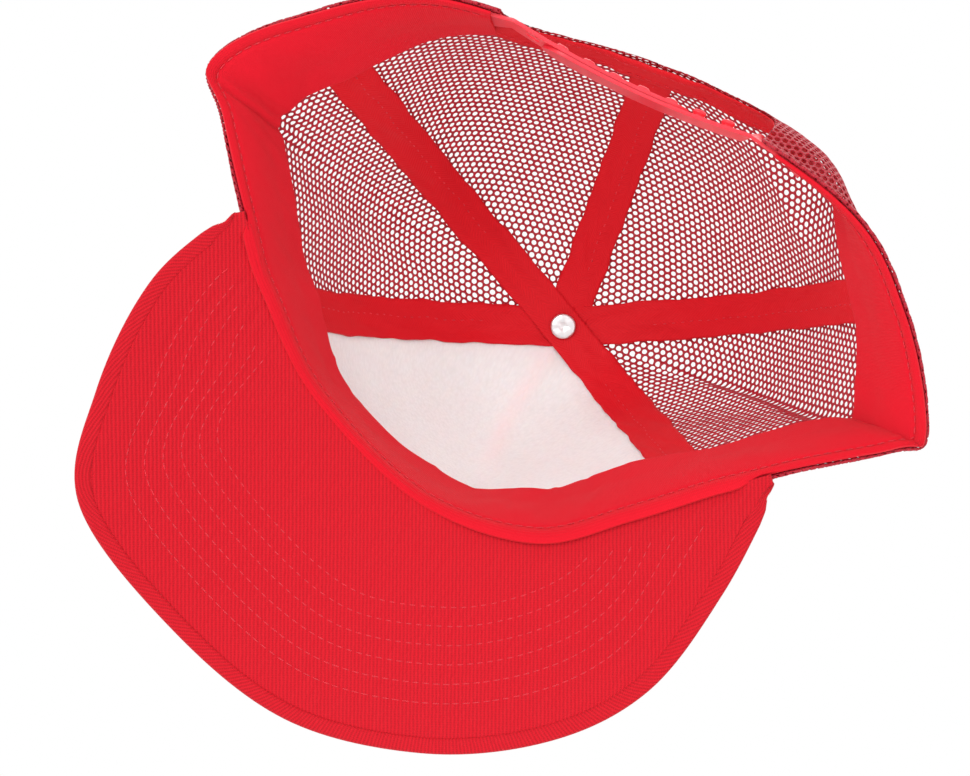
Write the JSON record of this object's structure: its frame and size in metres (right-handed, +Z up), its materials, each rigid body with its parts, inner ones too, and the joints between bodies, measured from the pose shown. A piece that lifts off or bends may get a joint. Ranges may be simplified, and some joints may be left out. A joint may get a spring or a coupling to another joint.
{
  "type": "trucker cap",
  "caption": "Red trucker cap with a foam-backed front, open mesh sides and back, curved stitched visor, sweatband and a plastic snap strap across the back arch.",
  "frame": {"origin": "centre of the head opening, on the plane that the cap stands on, about below the top button", "axes": "+Z up as worn, -Y towards the tip of the visor, +X towards the wearer's left"},
  "size_m": [0.2256, 0.2157, 0.1261],
  "materials": {
    "red_knit": "matt brushed knit",
    "cream_foam": "matt foam lining",
    "red_mesh": "satin polyester mesh",
    "red_tape": "matt woven tape",
    "red_thread": "satin sewing thread",
    "red_twill": "matt cotton twill",
    "red_band": "matt brushed cloth",
    "rivet_metal": "satin pressed metal",
    "white_board": "matt plastic board",
    "red_plastic": "satin translucent plastic"
  },
  "bodies": {
    "crown": {"front_panel": "red_knit", "front_foam": "cream_foam", "mesh_side_left": "red_mesh", "mesh_side_right": "red_mesh", "mesh_back_left": "red_mesh", "mesh_back_right": "red_mesh", "seam_tape_diagonal": "red_tape", "seam_tape_front_left": "red_tape", "seam_tape_back_centre": "red_tape", "seam_tape_side_right": "red_tape", "crown_stitching": "red_thread", "top_button": "red_twill", "button_rivet": "rivet_metal", "sweatband": "red_band", "sweatband_stitching": "red_thread", "sweatband_piping": "red_band", "arch_binding": "red_tape", "visor_board": "white_board", "visor_top_cover": "red_twill", "visor_under_cover": "red_twill", "visor_stitching": "red_thread", "strap_anchor_left": "red_plastic", "strap_anchor_right": "red_plastic"},
    "holes_half": {"strap_holes": "red_plastic"},
    "pegs_half": {"strap_pegs": "red_plastic"}
  },
  "joints": [
    {"name": "holes_half_swing", "type": "hinge", "parent": "crown", "child": "holes_half", "pos_m": [0.04459, 0.06328, 0.0102], "axis": [0, 0, -1], "range_deg": [0, 75], "stiffness_Nm_per_rad": 0.004},
    {"name": "pegs_half_swing", "type": "hinge", "parent": "crown", "child": "pegs_half", "pos_m": [-0.02836, 0.06668, 0.0102], "axis": [0, 0, -1], "range_deg": [0, 60], "stiffness_Nm_per_rad": 0.004}
  ]
}
